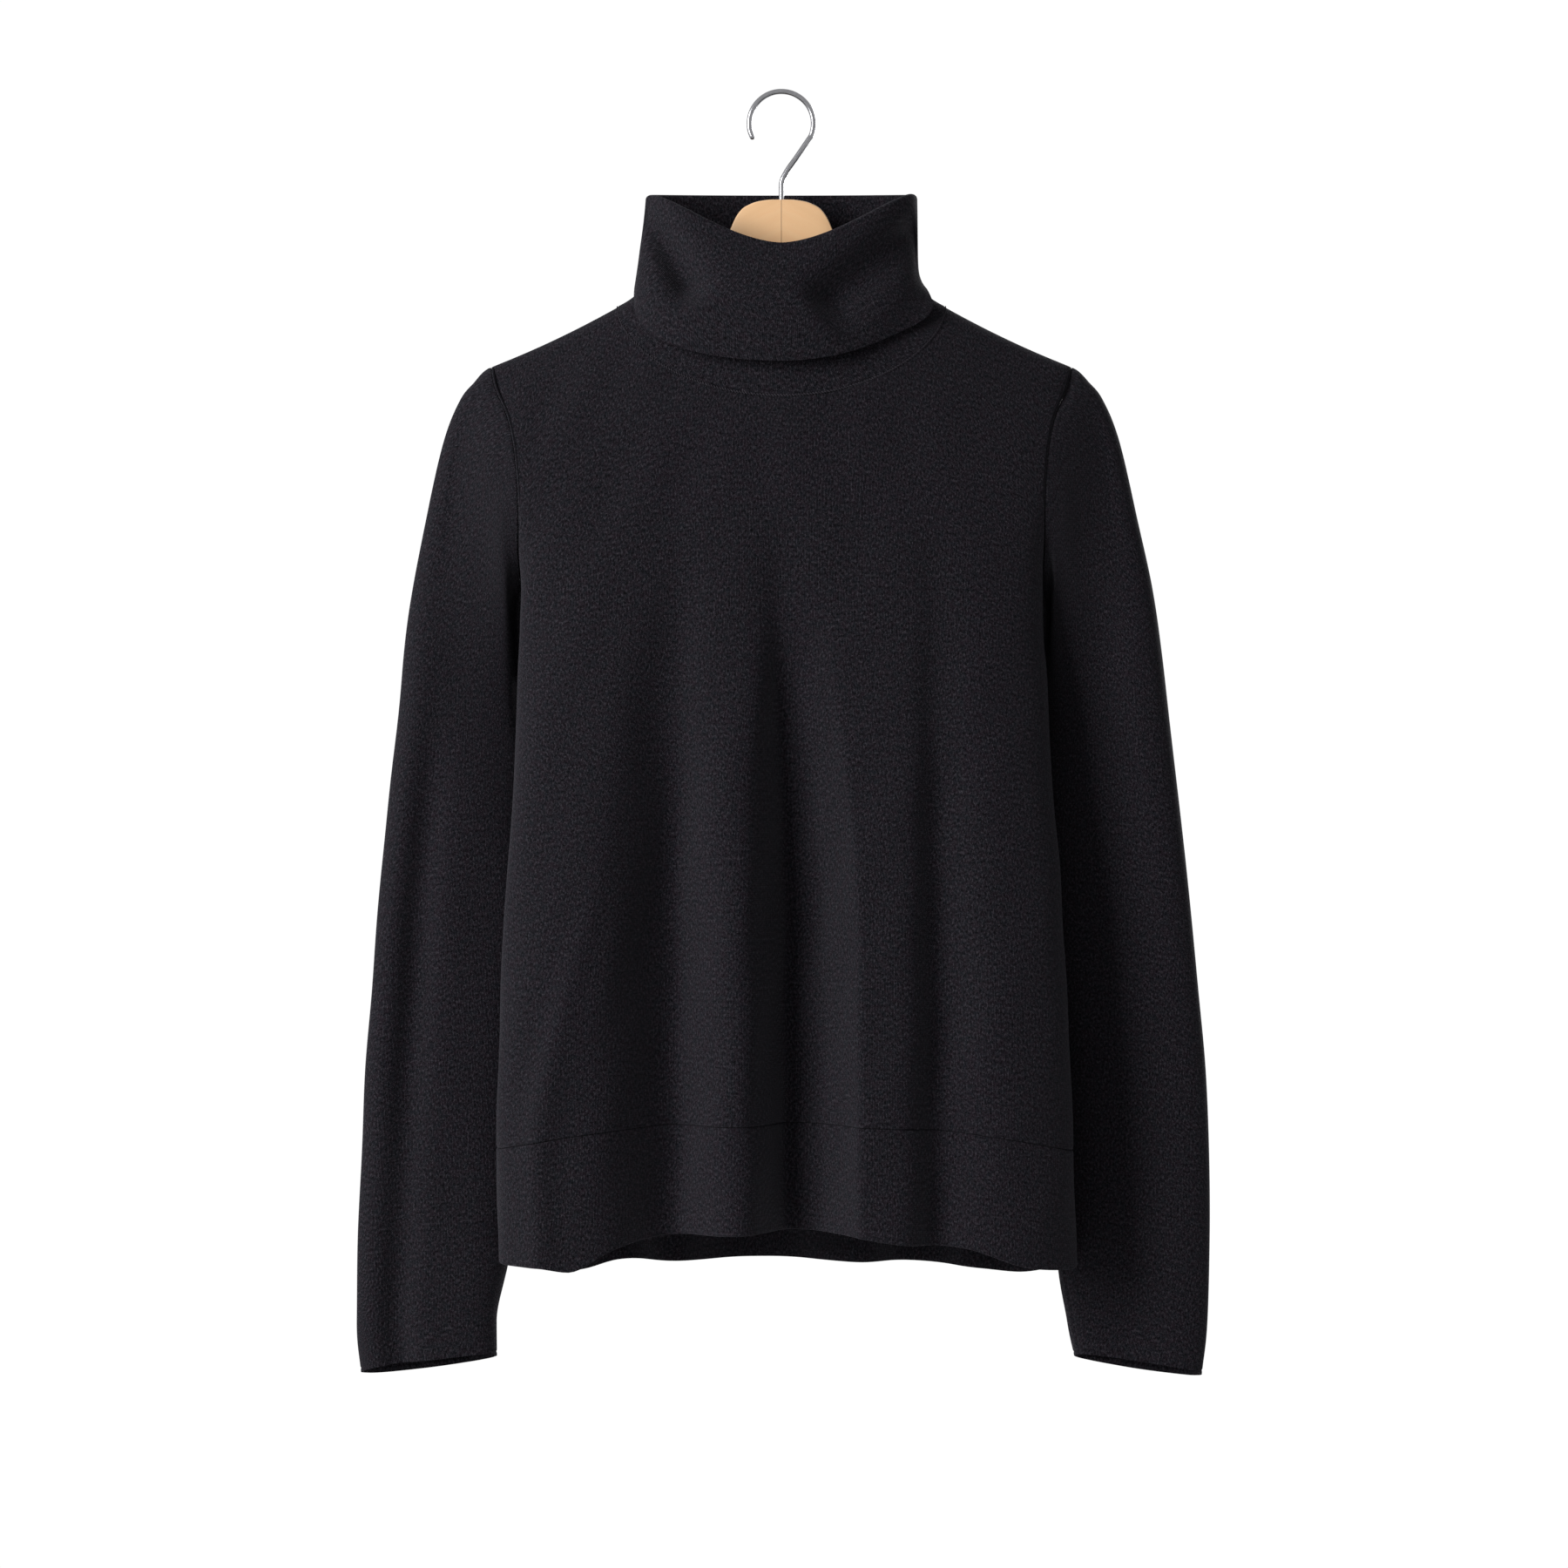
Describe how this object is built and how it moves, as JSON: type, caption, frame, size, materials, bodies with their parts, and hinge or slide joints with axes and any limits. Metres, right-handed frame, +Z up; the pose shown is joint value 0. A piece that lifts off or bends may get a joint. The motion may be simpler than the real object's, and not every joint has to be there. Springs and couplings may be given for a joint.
{
  "type": "turtleneck sweater on a wooden hanger",
  "caption": "Long-sleeved turtleneck sweater in fine plain knit with a folded collar and a deep hem band, hanging from a wooden hanger with a wire hook.",
  "frame": {"origin": "underside of the hook's top arc, where a rail carries the hanger", "axes": "+Z up, -Y the garment's front, +X the viewer's right"},
  "size_m": [0.5622, 0.1132, 0.8453],
  "materials": {
    "knit": "fine plain wool knit, near-black navy, slightly fuzzy",
    "wood": "pale beech with a clear satin lacquer",
    "steel": "bright plated wire"
  },
  "bodies": {
    "root": {"front_panel": "knit", "back_panel": "knit", "hem_band_front": "knit", "hem_band_back": "knit", "sleeve_left": "knit", "sleeve_right": "knit", "roll_collar": "knit", "hanger_left": "wood", "hanger_right": "wood", "hanger_hook": "steel"}
  },
  "joints": []
}
